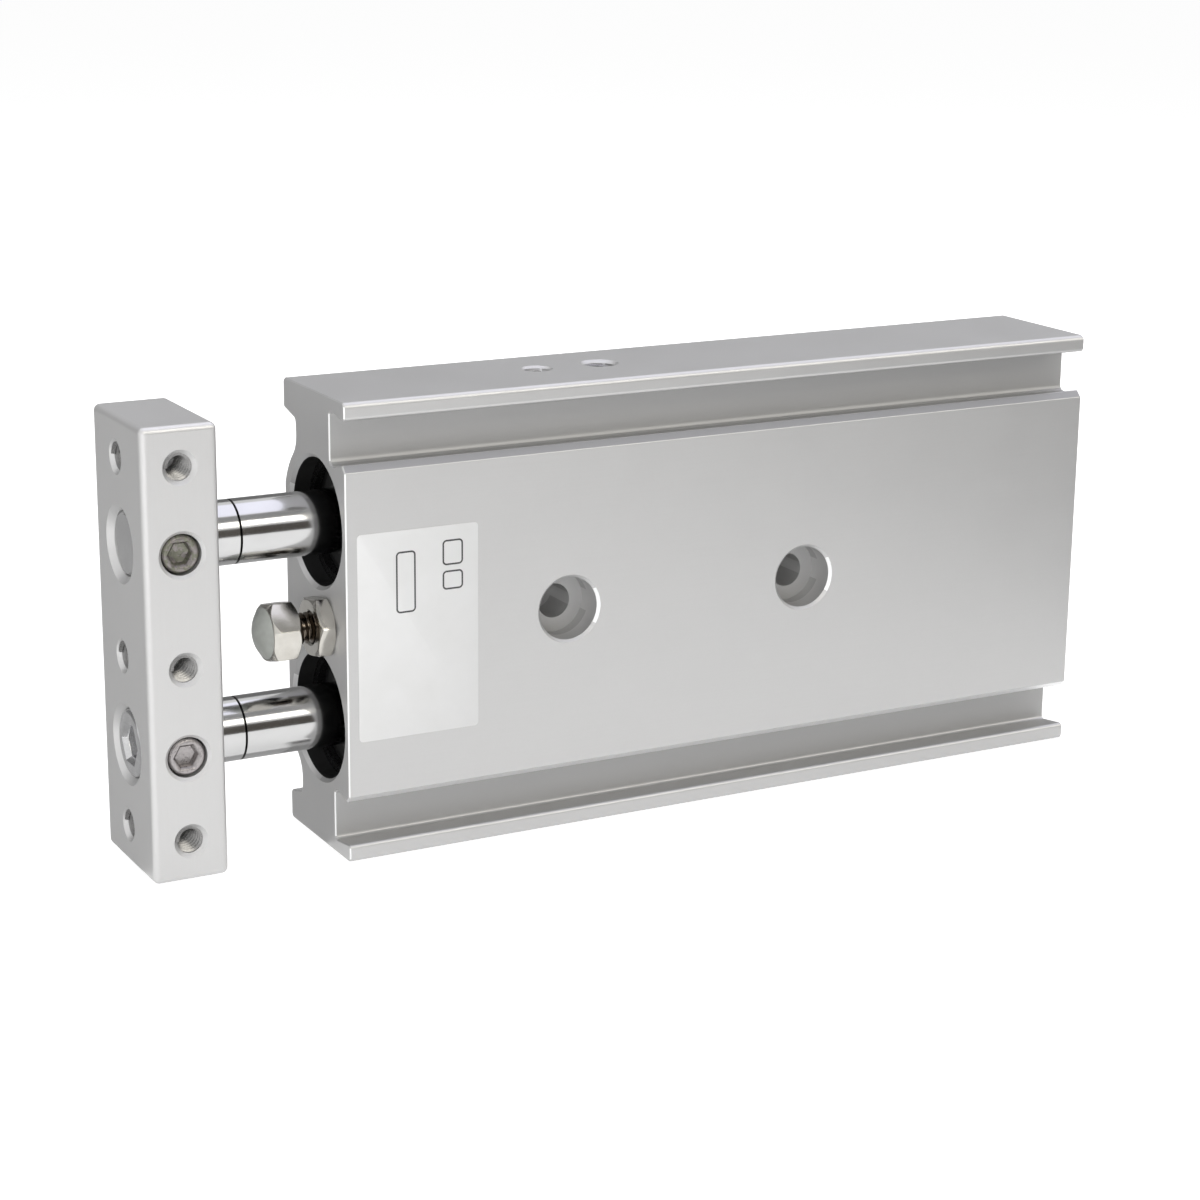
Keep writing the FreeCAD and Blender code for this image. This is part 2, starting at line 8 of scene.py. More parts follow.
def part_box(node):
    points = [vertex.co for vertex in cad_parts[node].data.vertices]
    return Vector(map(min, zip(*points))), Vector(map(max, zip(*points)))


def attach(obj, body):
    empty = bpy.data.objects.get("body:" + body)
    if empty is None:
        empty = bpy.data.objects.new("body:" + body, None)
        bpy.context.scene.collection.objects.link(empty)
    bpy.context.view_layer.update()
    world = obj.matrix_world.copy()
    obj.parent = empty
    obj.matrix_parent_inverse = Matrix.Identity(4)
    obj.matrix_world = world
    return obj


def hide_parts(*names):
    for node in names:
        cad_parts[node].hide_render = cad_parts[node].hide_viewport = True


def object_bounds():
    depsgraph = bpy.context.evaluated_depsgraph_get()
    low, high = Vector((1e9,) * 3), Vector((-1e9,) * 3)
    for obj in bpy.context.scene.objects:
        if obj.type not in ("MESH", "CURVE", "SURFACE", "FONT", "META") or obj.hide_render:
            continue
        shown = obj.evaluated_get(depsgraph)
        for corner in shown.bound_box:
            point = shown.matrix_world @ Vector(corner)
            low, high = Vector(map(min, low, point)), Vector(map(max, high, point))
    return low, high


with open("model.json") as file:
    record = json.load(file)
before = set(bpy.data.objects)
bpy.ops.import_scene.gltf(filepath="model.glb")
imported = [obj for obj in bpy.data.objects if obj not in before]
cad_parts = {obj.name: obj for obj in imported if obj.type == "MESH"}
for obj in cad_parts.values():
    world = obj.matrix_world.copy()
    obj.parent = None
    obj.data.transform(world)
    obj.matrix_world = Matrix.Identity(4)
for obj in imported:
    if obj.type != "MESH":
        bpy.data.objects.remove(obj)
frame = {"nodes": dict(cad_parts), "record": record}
cad_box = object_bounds()
nodes = frame["nodes"]

# ---- housing ----------------------------------------------------------------------------------
# One aluminium extrusion, sawn and milled to length, bored, drilled and then satin anodised. Its
# skin has a faint lengthwise grain, is rougher on the milled ends and rougher in the grooves,
# which are painted darker as shade. The panel's upper sloped edge is painted shaded and its lower
# one painted as a highlight, as are the sloped edges at the front end, and its two bores are
# painted dark as shade behind their bright chamfered mouths.

MM = 0.001
ROWS = ("upper", "lower")
HOUSING_GREY = 0.56
END_ON = 0.94                   # a normal with this much along X belongs to a milled end
GROOVE_FROM, GROOVE_TO = -6.7, 0.0      # the grooves' place in the thickness, along Y
GROOVE_TOP, PANEL_TO = 27.0, 24.0       # how far they and the panel's edges are from the middle
# share of the tone that the grooves lose as painted shade, and the roughness they gain
GROOVE_PAINTED_SHADE, GROOVE_ROUGHER = 0.5, 0.16
EDGE_PAINTED_SHADE, EDGE_PAINTED_HIGHLIGHT = 0.62, 1.60     # painted shade and painted highlight on the sloped edges, as shares of the housing's grey
SLOPE_SLACK, SLOPE_SIDE = 0.06, 0.6     # how near 45 degrees a slope is, and its least other part
BORE_REACH, MOUTH_CHAMFER = 8.6, 0.45   # the painted shade's radius, and how far in it begins
BORE_SHADE_GREY = 0.03


class Wire:
    """A value among nodes: arithmetic on it adds the Math nodes that carry it out."""

    def __init__(self, among, socket):
        self.among = among
        self.socket = socket

    def math(self, operation, *values):
        settings = {"operation": operation}
        return self.among.node("ShaderNodeMath", settings, dict(enumerate(values)))

    def __add__(self, other):
        return self.math("ADD", self, other)

    def __radd__(self, other):
        return self.math("ADD", other, self)

    def __sub__(self, other):
        return self.math("SUBTRACT", self, other)

    def __rsub__(self, other):
        return self.math("SUBTRACT", other, self)

    def __mul__(self, other):
        return self.math("MULTIPLY", self, other)

    def __rmul__(self, other):
        return self.math("MULTIPLY", other, self)

    def __gt__(self, other):
        return self.math("GREATER_THAN", self, other)

    def __lt__(self, other):
        return self.math("LESS_THAN", self, other)

    def __pow__(self, power):
        return self.math("POWER", self, power)

    def __abs__(self):
        return self.math("ABSOLUTE", self)

    def most(self, other):
        return self.math("MAXIMUM", self, other)


class Nodes:
    """The nodes of a material or of the world."""

    def __init__(self, owner):
        owner.use_nodes = True
        self.tree = owner.node_tree

    def give(self, node, socket, value):
        """Gives a node's socket a constant or a wire."""
        if isinstance(value, Wire):
            self.tree.links.new(value.socket, node.inputs[socket])
        else:
            node.inputs[socket].default_value = value

    def node(self, kind, settings=None, sockets=None, output=0):
        """Adds a node with its settings and its sockets, and gives one of its outputs."""
        made = self.tree.nodes.new(kind)
        for name, value in (settings or {}).items():
            setattr(made, name, value)
        for socket, value in (sockets or {}).items():
            self.give(made, socket, value)
        return Wire(self, made.outputs[output])


class Finish(Nodes):
    """A material on one Principled shader."""

    def __init__(self, name, **constants):
        self.material = bpy.data.materials.new(name)
        super().__init__(self.material)
        for socket, value in constants.items():
            self.set(socket.replace("_", " "), value)
        self.place = self.node("ShaderNodeTexCoord", output="Object")
        self.facing = self.node("ShaderNodeTexCoord", output="Normal")

    def set(self, socket, value):
        self.give(self.tree.nodes["Principled BSDF"], socket, value)

    def stretched(self, x=1.0, y=1.0, z=1.0):
        return self.node("ShaderNodeMapping", {}, {"Vector": self.place, "Scale": (x, y, z)})

    def noise(self, size, where=None, detail=2.0, rough=0.5):
        """Noise from 0 to 1 whose features are about this many metres across."""
        sockets = {"Vector": where or self.place, "Scale": 1 / size, "Detail": detail,
                   "Roughness": rough}
        return self.node("ShaderNodeTexNoise", {}, sockets)

    def part(self, vector, axis):
        return self.node("ShaderNodeSeparateXYZ", {}, {0: vector}, axis)

    def mix(self, factor, first, second):
        sockets = {0: factor, 6: first, 7: second}
        return self.node("ShaderNodeMix", {"data_type": "RGBA"}, sockets, 2)

    def bump(self, height, depth, strength=1.0):
        sockets = {"Height": height, "Distance": depth, "Strength": strength}
        self.set("Normal", self.node("ShaderNodeBump", {}, sockets))


def grey(level, warmth=0.0):
    return (level * (1 + warmth), level, level * (1 - warmth), 1.0)


def anodise(made, level, warmth, squeeze, recess=None):
    """Gives a finish the skin of satin anodised aluminium, and returns its colour.

    The grain runs along the axis that squeeze makes short, and a recess is rougher and painted
    darker as shade.
    """
    grain = made.noise(0.25 * MM, made.stretched(*squeeze), detail=3.0)
    cloud = made.noise(9 * MM, detail=3.0, rough=0.6)
    speck = made.noise(0.16 * MM)
    milled = abs(made.part(made.facing, 0)) > END_ON
    tone = (grain - 0.5) * 0.10 + (cloud - 0.5) * 0.12 + (speck - 0.5) * 0.10 + 0.5
    satin = (grain - 0.5) * 0.08 + (cloud - 0.5) * 0.06 + 0.42 + milled * 0.04
    if recess:
        duller = recess * (1 - milled)
        # painted shade: a recess's tone is lowered, and it is made rougher
        tone = tone - duller * GROOVE_PAINTED_SHADE
        satin = satin + duller * GROOVE_ROUGHER
    skin = made.mix(tone, grey(level * 0.80, warmth), grey(level * 1.20, warmth))
    made.set("Base Color", skin)
    made.set("Metallic", 0.62)
    made.set("Roughness", satin)
    made.bump(speck * 0.7 + grain * 0.3, 0.012 * MM, 0.5)
    return skin


def dress(node, finish):
    for place in nodes[node].material_slots:
        place.material = finish.material


def seat(node):
    """A node's lowest corner, its size and its middle, in metres."""
    low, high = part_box(node)
    return low, high - low, (low + high) / 2


housing_low, housing_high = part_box("housing")
housing_middle = seat("housing")[2]
rod_axes = [seat("piston_rod_" + row)[2] for row in ROWS]

extrusion = Finish("anodised extrusion")
into = extrusion.part(extrusion.place, 1)
above = extrusion.part(extrusion.place, 2)
off_middle = above - (rod_axes[0].z + rod_axes[1].z) / 2
in_groove = (into > GROOVE_FROM * MM) * (into < GROOVE_TO * MM)
in_groove = in_groove * (abs(off_middle) < GROOVE_TOP * MM)
skin = anodise(extrusion, HOUSING_GREY, 0.003, (0.02, 1, 1), in_groove)

sloped = abs(extrusion.part(extrusion.facing, 1) + math.sqrt(0.5)) < SLOPE_SLACK
on_panel = sloped * (abs(off_middle) < PANEL_TO * MM)
upwards = extrusion.part(extrusion.facing, 2)
upper_edge = on_panel * (upwards > SLOPE_SIDE) * (off_middle > 0.0)
lower_edge = on_panel * (upwards < -SLOPE_SIDE) * (off_middle < 0.0)
front_edge = sloped * (extrusion.part(extrusion.facing, 0) < -SLOPE_SIDE)
# The panel's upper sloped edge gets painted shade; its lower one and those at the front end get a
# painted highlight.
for edge, share in ((upper_edge, EDGE_PAINTED_SHADE), (lower_edge, EDGE_PAINTED_HIGHLIGHT), (front_edge, EDGE_PAINTED_HIGHLIGHT)):
    skin = extrusion.mix(edge, skin, grey(HOUSING_GREY * share))

# Past their mouths the bores are painted dark grey as shade.
deep = extrusion.part(extrusion.place, 0) > housing_low.x + MOUTH_CHAMFER * MM
for axis in rod_axes:
    off_axis = (into - axis.y) ** 2 + (above - axis.z) ** 2
    inside = off_axis < (BORE_REACH * MM) ** 2
    skin = extrusion.mix(inside * deep, skin, grey(BORE_SHADE_GREY))
extrusion.set("Base Color", skin)
dress("housing", extrusion)

# ---- closing balls and spare port plug ------------------------------------------------------
# Hardened steel balls are pressed into the drilled ducts and peened in, and a socket plug closes
# the port on the side that the cylinder stands on.

ball_steel = Finish("ball steel", Metallic=1.0)
scuff = ball_steel.noise(0.5 * MM, detail=4.0, rough=0.6)
ball_steel.set("Base Color", ball_steel.mix(scuff, grey(0.42, 0.02), grey(0.75, 0.01)))
ball_steel.set("Roughness", scuff * 0.25 + 0.12)
dress("duct_balls", ball_steel)
dress("port_plug", ball_steel)

# ---- rod covers, seals and retaining rings ---------------------------------------------------
# Each bore is closed by a black anodised rod guide with a rubber wiper seal at its front and a
# sintered bush inside, and a black spring-steel ring snapped into a groove keeps it there.

black_guide = Finish("black hard anodise", Metallic=0.35)
dust = black_guide.noise(0.6 * MM, detail=3.0)
black_guide.set("Base Color", black_guide.mix(dust, grey(0.004), grey(0.014)))
black_guide.set("Roughness", dust * 0.2 + 0.28)

spring_steel = Finish("black spring steel", Metallic=0.8)
rub = spring_steel.noise(0.35 * MM, detail=3.0)
spring_steel.set("Base Color", spring_steel.mix(rub, grey(0.006), grey(0.03)))
spring_steel.set("Roughness", rub * 0.2 + 0.18)

nitrile = Finish("nitrile rubber", Roughness=0.42)
bloom = nitrile.noise(0.4 * MM, detail=3.0)
nitrile.set("Base Color", nitrile.mix(bloom, grey(0.006), grey(0.022)))
nitrile.bump(bloom, 0.01 * MM, 0.4)

bronze = Finish("sintered bronze", Metallic=0.9, Roughness=0.5)
pore = bronze.noise(0.12 * MM)
bronze.set("Base Color", bronze.mix(pore, (0.20, 0.12, 0.05, 1), (0.50, 0.34, 0.16, 1)))
bronze.bump(pore, 0.02 * MM, 0.5)

for row in ROWS:
    dress("rod_cover_" + row, black_guide)
    dress("front_retaining_ring_" + row, spring_steel)
    dress("rear_retaining_ring_" + row, spring_steel)
    dress("rod_bush_" + row, bronze)
    for rubber in ("rod_seal_", "cover_o_ring_", "head_o_ring_", "piston_seal_"):
        dress(rubber + row, nitrile)

# ---- pistons and head covers -----------------------------------------------------------------
# Turned aluminium pistons with a magnet and a nut, turned head covers at the rear, and urethane
# stops. Fine tool marks run round every turned face.

turned_metal = Finish("turned aluminium", Metallic=0.85)
feed = turned_metal.noise(0.10 * MM, turned_metal.stretched(1, 0.1, 0.1))
patch = turned_metal.noise(2.5 * MM)
turned_metal.set("Base Color", turned_metal.mix(patch, grey(0.50, 0.005), grey(0.66, 0.005)))
turned_metal.set("Roughness", feed * 0.18 + 0.24)
turned_metal.bump(feed, 0.01 * MM, 0.4)

plain_steel = Finish("plain steel", Metallic=1.0)
oil = plain_steel.noise(0.7 * MM, detail=3.0)
plain_steel.set("Base Color", plain_steel.mix(oil, grey(0.30, 0.01), grey(0.52, 0.01)))
plain_steel.set("Roughness", oil * 0.2 + 0.25)

ferrite = Finish("bonded magnet")
powder = ferrite.noise(0.2 * MM)
ferrite.set("Base Color", ferrite.mix(powder, grey(0.02), grey(0.06)))
ferrite.set("Roughness", powder * 0.15 + 0.5)

urethane = Finish("grey urethane", Roughness=0.22, IOR=1.5, Subsurface_Weight=0.25,
                  Subsurface_Radius=(0.6 * MM, 0.6 * MM, 0.6 * MM), Subsurface_Scale=1.0)
haze = urethane.noise(1.2 * MM)
urethane.set("Base Color", urethane.mix(haze, (0.30, 0.312, 0.290, 1), (0.42, 0.432, 0.410, 1)))
urethane.bump(haze, 0.02 * MM, 0.2)

for row in ROWS:
    dress("piston_" + row, turned_metal)
    dress("head_cover_" + row, turned_metal)
    dress("piston_nut_" + row, plain_steel)
    dress("piston_magnet_" + row, ferrite)
    dress("rod_bumper_" + row, urethane)
    dress("head_bumper_" + row, urethane)

# ---- piston rods -----------------------------------------------------------------------------
# Induction-hardened bars, hard chromed and centreless ground to a mirror. A fine ring is turned in
# each one close to the plate and painted dark as shade, and the lower one is drilled for a screw.

ROD_FACETS = 96
ROD_CHAMFER = 0.4
ROD_SHARP = 24.0                # edges sharper than this stay sharp, in degrees
ROD_SHOULDER = 1.5              # radius lost at the shoulder that carries the piston
RING_FROM_PLATE, RING_HALF, RING_DEPTH = 4.4, 0.15, 0.20
END_HOLE_R, END_HOLE_DEPTH = 2.07, 9.0
CENTRE_R = 0.05                 # smallest ring, closed by a cap
WELD = 0.0005                   # points nearer than this are one


def spun(stations, facets=ROD_FACETS):
    """A turned form about Z, in millimetres, from its stations: distance along Z, and radius."""
    bpy.ops.object.select_all(action="DESELECT")
    (z, radius), rest = stations[0], stations[1:]
    bpy.ops.mesh.primitive_circle_add(vertices=facets, radius=radius, location=(0, 0, z))
    bpy.ops.object.transform_apply(location=True)
    bpy.ops.object.mode_set(mode="EDIT")
    bpy.ops.mesh.select_all(action="SELECT")
    for next_z, next_radius in rest:
        bpy.ops.mesh.extrude_region_move(TRANSFORM_OT_translate={"value": (0, 0, next_z - z)})
        change = next_radius / radius
        bpy.ops.transform.resize(value=(change, change, 1), center_override=(0, 0, next_z))
        z, radius = next_z, next_radius
    bpy.ops.mesh.select_all(action="SELECT")
    bpy.ops.mesh.remove_doubles(threshold=WELD)
    bpy.ops.mesh.fill_holes(sides=0)
    bpy.ops.mesh.normals_make_consistent(inside=False)
    bpy.ops.object.mode_set(mode="OBJECT")
    return bpy.context.object


def only(made):
    """Selects one object and nothing else."""
    bpy.ops.object.select_all(action="DESELECT")
    made.select_set(True)
    bpy.context.view_layer.objects.active = made


def placed(made, name, at, along, finish, sharp=30.0):
    """Turns a form made in millimetres about Z into a finished piece at its place."""
    made.name = name
    made.data.name = name
    made.scale = (MM, MM, MM)
    made.location = at
    made.rotation_euler = Vector(along).to_track_quat("Z", "Y").to_euler()
    only(made)
    bpy.ops.object.transform_apply(location=True, rotation=True, scale=True)
    bpy.ops.object.shade_smooth_by_angle(angle=math.radians(sharp))
    made.data.materials.clear()
    made.data.materials.append(finish.material)
    return made


plate_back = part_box("end_plate")[1].x
ring_place = plate_back + RING_FROM_PLATE * MM

hard_chrome = Finish("hard chrome", Metallic=1.0)
ground = hard_chrome.noise(0.05 * MM, hard_chrome.stretched(1, 0.04, 0.04))
smear = hard_chrome.noise(3 * MM, hard_chrome.stretched(x=0.5), detail=3.0)
wave = hard_chrome.noise(0.9 * MM, hard_chrome.stretched(x=0.3))
# The ring's bottom and sides are painted near black as shade.
in_ring = abs(hard_chrome.part(hard_chrome.place, 0) - ring_place) < RING_HALF * MM
plated = hard_chrome.mix(smear, grey(0.50), grey(0.62))
hard_chrome.set("Base Color", hard_chrome.mix(in_ring, plated, grey(0.08)))
hard_chrome.set("Roughness", ground * 0.05 + smear * 0.08 + 0.07)
hard_chrome.bump(wave, 0.003 * MM, 1.0)

end_holes = {"upper": [], "lower": [(END_HOLE_DEPTH, CENTRE_R), (END_HOLE_DEPTH, END_HOLE_R),
                                    (0, END_HOLE_R)]}
for row in ROWS:
    low, size, middle = seat("piston_rod_" + row)
    length, radius = size.x / MM, size.z / 2 / MM
    shoulder = (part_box("piston_" + row)[0].x - low.x) / MM
    ring = (plate_back - low.x) / MM + RING_FROM_PLATE
    spigot = radius - ROD_SHOULDER
    bar = spun(end_holes[row] + [
        (0, radius - ROD_CHAMFER), (ROD_CHAMFER, radius), (ring - RING_HALF, radius),
        (ring, radius - RING_DEPTH), (ring + RING_HALF, radius), (shoulder, radius),
        (shoulder, spigot), (length - ROD_CHAMFER, spigot), (length, spigot - ROD_CHAMFER),
    ])
    placed(bar, "bar_" + row, (low.x, middle.y, middle.z), (1, 0, 0), hard_chrome, ROD_SHARP)
    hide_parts("piston_rod_" + row)
    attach(bar, "rod_carriage")

# ---- end plate ---------------------------------------------------------------------------------
# Milled from aluminium flat, tumbled to round its edges and satin anodised with the rest. Its
# tapped holes take whatever the cylinder moves.

plate_skin = Finish("anodised plate")
anodise(plate_skin, 0.60, 0.004, (1, 1, 0.05))
dress("end_plate", plate_skin)

# ---- threads of the tapped holes --------------------------------------------------------------
# The holes in the plate are tapped before it is anodised, and so are the air ports. Each thread
# is a helix of the sharp 60 degree triangle with its crest cut off.

THREAD_STEPS = 24
CREST_CUT = 1 / 8               # share of the triangle's height that the crest loses
TAP_SHOWS = 0.28                # how far a thread stands in from its drilled hole
TAP_IN = 0.5                    # where it starts below the face
TAP_R, TAP_PITCH, TAP_DEPTH = 1.65, 0.7, 5.6
PORT_R, PORT_PITCH, PORT_DEPTH = 2.1, 0.8, 5.0


def thread(radius, pitch, turns, inward):
    """A helical ridge about Z, in millimetres, with its crest at a radius."""
    sharp = pitch * math.sqrt(3) / 2
    beyond = sharp * CREST_CUT
    side = -1 if inward else 1
    bpy.ops.object.select_all(action="DESELECT")
    centre = radius + side * (beyond - pitch / math.sqrt(3))
    bpy.ops.mesh.primitive_circle_add(vertices=3, radius=pitch / math.sqrt(3), fill_type="NGON",
                                      location=(centre, 0, 0),
                                      rotation=(math.pi / 2, side * math.pi / 2, 0))
    bpy.ops.object.transform_apply(location=True, rotation=True)
    made = bpy.context.object
    tip = max(made.data.vertices, key=lambda v: side * v.co.x).index
    bpy.ops.object.mode_set(mode="EDIT")
    bpy.ops.mesh.select_all(action="DESELECT")
    bpy.ops.object.mode_set(mode="OBJECT")
    made.data.vertices[tip].select = True
    bpy.ops.object.mode_set(mode="EDIT")
    bpy.ops.mesh.bevel(affect="VERTICES", offset=beyond * 2 / math.sqrt(3))
    bpy.ops.mesh.select_all(action="SELECT")
    bpy.ops.mesh.delete(type="ONLY_FACE")
    bpy.ops.object.mode_set(mode="OBJECT")
    helix = made.modifiers.new("helix", "SCREW")
    helix.axis = "Z"
    helix.screw_offset = pitch
    helix.iterations = turns
    helix.steps = THREAD_STEPS
    helix.render_steps = THREAD_STEPS
    helix.use_smooth_shade = False
    bpy.ops.object.modifier_apply(modifier=helix.name)
    bpy.ops.object.mode_set(mode="EDIT")
    bpy.ops.mesh.select_all(action="SELECT")
    bpy.ops.mesh.fill_holes(sides=0)
    bpy.ops.mesh.normals_make_consistent(inside=False)
    bpy.ops.object.mode_set(mode="OBJECT")
    return made


# The threads are painted dark grey, much darker than the plate's skin, as shade inside the holes.
tapped = Finish("tapped aluminium", Metallic=0.9)
chatter = tapped.noise(0.15 * MM)
tapped.set("Base Color", tapped.mix(chatter, grey(0.14, 0.01), grey(0.38, 0.01)))
tapped.set("Roughness", chatter * 0.2 + 0.2)


def tap(name, face, into, form, body):
    """The thread of a hole, from its place on a face and its radius, pitch and depth."""
    radius, pitch, depth = form
    made = thread(radius - TAP_SHOWS, pitch, round(depth / pitch), True)
    placed(made, name, face + into * TAP_IN * MM, into, tapped)
    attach(made, body)


mounts = {mount["name"]: mount for mount in frame["record"]["mounts"]}

for side in ("end", "side"):
    pair = mounts["plate_" + side + "_holes"]
    between = mounts["plate_" + side + "_middle_hole"]["pos_m"][2]
    x, y, z = pair["pos_m"]
    half = pair["dims"]["spacing_y_mm"] / 2 * MM
    for name, height in (("upper", z + half), ("middle", between), ("lower", z - half)):
        tap("thread_" + side + "_" + name, Vector((x, y, height)), -Vector(pair["axis"]),
            (TAP_R, TAP_PITCH, TAP_DEPTH), "rod_carriage")

for name, reach in (("front", housing_high.z), ("rear", housing_high.x)):
    port = mounts[name + "_air_port"]
    outward, place = Vector(port["axis"]), Vector(port["pos_m"])
    face = place + outward * (reach - place.dot(outward))
    tap("thread_port_" + name, face, -outward, (PORT_R, PORT_PITCH, PORT_DEPTH),
        "cylinder_body")

# ---- set screws --------------------------------------------------------------------------------
# Short socket screws in the side of the plate, driven against the rods and locked with a drop of
# compound. What is left of it has dried in the upper one, and the lower one is clean steel.

SET_R, SET_RIM, SET_POINT = 2.32, 0.30, 0.8
SET_AF, SET_SOCKET, SET_FACETS = 2.5, 1.5, 64
FLARE, FLARE_DEPTH = 1.28, 0.16         # the socket's mouth, as shares of its width
SOCKET_START, FLARE_START = 0.5, 0.01   # how far each cutter starts outside the face
SCREW_EDGE = 0.06


def hexagon(across, start, length, taper=1.0, turned=0.0):
    """A hexagonal bar along Z, in millimetres, with two corners towards X before it is turned."""
    corner = across / math.sqrt(3)
    bpy.ops.object.select_all(action="DESELECT")
    bpy.ops.mesh.primitive_cone_add(vertices=6, radius1=corner, radius2=corner * taper,
                                    depth=length, location=(0, 0, start + length / 2),
                                    rotation=(0, 0, math.pi / 6 + math.radians(turned)))
    bpy.ops.object.transform_apply(location=True, rotation=True)
    return bpy.context.object


def cut(made, operation, tool):
    """Shapes a form with another one, which is used up."""
    step = made.modifiers.new("cut", "BOOLEAN")
    step.operation = operation
    step.object = tool
    step.solver = "EXACT"
    only(made)
    bpy.ops.object.modifier_apply(modifier=step.name)
    bpy.data.objects.remove(tool)


def soften(made, width, sharp=25.0):
    """Breaks the sharp edges of a form, in millimetres."""
    step = made.modifiers.new("edges", "BEVEL")
    step.width = width
    step.segments = 2
    step.limit_method = "ANGLE"
    step.angle_limit = math.radians(sharp)
    only(made)
    bpy.ops.object.modifier_apply(modifier=step.name)


def socket(made, across, depth):
    """A hexagon socket with a flared mouth, in the end of a form at Z = 0."""
    cut(made, "DIFFERENCE", hexagon(across, -SOCKET_START, depth + SOCKET_START))
    cut(made, "DIFFERENCE", hexagon(across * FLARE, -FLARE_START, across * FLARE_DEPTH, 1 / FLARE))


set_steel = Finish("worn set screw steel")
grime = set_steel.noise(0.8 * MM, detail=4.0, rough=0.6)
spots = set_steel.noise(0.35 * MM, detail=3.0, rough=0.6)
compound = set_steel.mix(spots, (0.085, 0.085, 0.060, 1), (0.26, 0.26, 0.21, 1))
worn_steel = set_steel.mix(spots, (0.10, 0.09, 0.085, 1), (0.40, 0.37, 0.36, 1))
clean_steel = set_steel.mix(spots, (0.20, 0.19, 0.19, 1), (0.54, 0.51, 0.51, 1))
upper_one = set_steel.part(set_steel.place, 2) > seat("end_plate")[2].z
covered = (grime > 0.5) * upper_one
bare_steel = set_steel.mix(upper_one, clean_steel, worn_steel)
set_steel.set("Base Color", set_steel.mix(covered, bare_steel, compound))
set_steel.set("Metallic", 0.9 - covered * 0.5)
set_steel.set("Roughness", spots * 0.3 + 0.16)
set_steel.bump(spots, 0.06 * MM, 0.8)

for row in ROWS:
    low, size, middle = seat("set_screw_" + row)
    length = size.y / MM
    screw = spun([(0, SET_R - SET_RIM), (SET_RIM, SET_R), (length - SET_POINT, SET_R),
                  (length, SET_R - SET_POINT)], SET_FACETS)
    socket(screw, SET_AF, SET_SOCKET)
    soften(screw, SCREW_EDGE)
    placed(screw, "worn_set_screw_" + row, (middle.x, low.y, middle.z), (0, 1, 0), set_steel)
    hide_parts("set_screw_" + row)
    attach(screw, "rod_carriage")

# ---- plate screw -------------------------------------------------------------------------------
# A socket-head cap screw that holds the plate on the end of the lower rod. It is cold headed and
# plated bright, and its thread is out of sight inside the rod, so the shank is plain.

HEAD_R, HEAD_H, HEAD_EDGE = 4.25, 5.0, 0.5
HEAD_ROUND = (0.4, 0.2)         # middle of the head's rounded edge, as shares of the edge
SHANK_R, SHANK_POINT = 2.05, 0.4
SOCKET_AF, SOCKET_DEPTH = 4.0, 2.5

bright_steel = Finish("bright plated steel", Metallic=1.0)
film = bright_steel.noise(1.2 * MM, detail=3.0)
plating = bright_steel.mix(film, (0.52, 0.52, 0.53, 1), (0.74, 0.74, 0.74, 1))
bright_steel.set("Base Color", plating)
bright_steel.set("Roughness", film * 0.16 + 0.14)

low, size, middle = seat("plate_screw")
length = size.x / MM
cap_screw = spun([
    (0, HEAD_R - HEAD_EDGE), (HEAD_EDGE * HEAD_ROUND[0], HEAD_R - HEAD_EDGE * HEAD_ROUND[1]),
    (HEAD_EDGE, HEAD_R), (HEAD_H, HEAD_R), (HEAD_H, SHANK_R), (length - SHANK_POINT, SHANK_R),
    (length, SHANK_R - SHANK_POINT)])
socket(cap_screw, SOCKET_AF, SOCKET_DEPTH)
soften(cap_screw, SCREW_EDGE)
placed(cap_screw, "cap_screw", (low.x, middle.y, middle.z), (1, 0, 0), bright_steel)
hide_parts("plate_screw")
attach(cap_screw, "rod_carriage")

# ---- bumper bolt, its lock nut and its pad ----------------------------------------------------
# A nickel-plated hexagon bolt stops the plate on its way in. Its head holds a domed urethane pad
# in a shallow seat, its rolled thread and the nut's bore are painted dark brown as shade, and a
# thin nut locks it on the housing.

BOLT_AF, BOLT_R, BOLT_PITCH = 7.0, 1.95, 0.7
HEAD_LENGTH = 3.65
ROOT_R = BOLT_R - BOLT_PITCH * 0.61     # bottom of the thread
THREAD_SHADE_R = BOLT_R + 0.1
SHANK_FACETS = 48
BOLT_POINT, BOLT_TIP = 0.5, 0.4         # length of its tapered end, and the radius lost there
SHANK_IN, RIDGE_IN = 0.3, 0.2           # how far the shank and the thread start in the head
FRONT_TURN, BACK_TURN = 0.85, 0.55      # length of the turned-off corners of the head
FRONT_IN, BACK_IN = 0.12, 0.10          # how far inside the flats its turned faces stop
CORNER_R = BOLT_AF / math.sqrt(3) + 0.05    # just past the corners
NUT_TURN, NUT_BORE, NUT_CHAMFER = 0.42, 2.0, 0.3
HEX_EDGE = 0.07
BOLT_TURNED, NUT_TURNED = -13, -8       # where each stopped when it was tightened, in degrees
PAD_SEAT, PAD_RISE, PAD_R = 1.6, 1.3, 3.25
PAD_GAP, PAD_LIFT = 0.03, 0.05          # round the pad in its seat, and under it
DOME_STEPS, DOME_SHARP = 12, 40.0

bolt_low, bolt_size, bolt_middle = seat("bumper_bolt")
bolt_length = bolt_size.x / MM

nickel = Finish("nickel plate", Metallic=1.0)
stain = nickel.noise(1.6 * MM, detail=3.0)
pits = nickel.noise(0.12 * MM)
shine = nickel.mix(stain, (0.48, 0.46, 0.42, 1), (0.64, 0.625, 0.585, 1))
# Within this radius of the bolt's axis, the thread and the nut's bore are painted dark brown as
# shade.
off_axis = (nickel.part(nickel.place, 1) - bolt_middle.y) ** 2
off_axis = (off_axis + (nickel.part(nickel.place, 2) - bolt_middle.z) ** 2) ** 0.5
shaded_thread = off_axis < THREAD_SHADE_R * MM
nickel.set("Base Color", nickel.mix(shaded_thread, shine, (0.16, 0.135, 0.11, 1)))
nickel.set("Roughness", stain * 0.10 + pits * 0.10 + 0.07)
nickel.bump(pits, 0.006 * MM, 0.6)

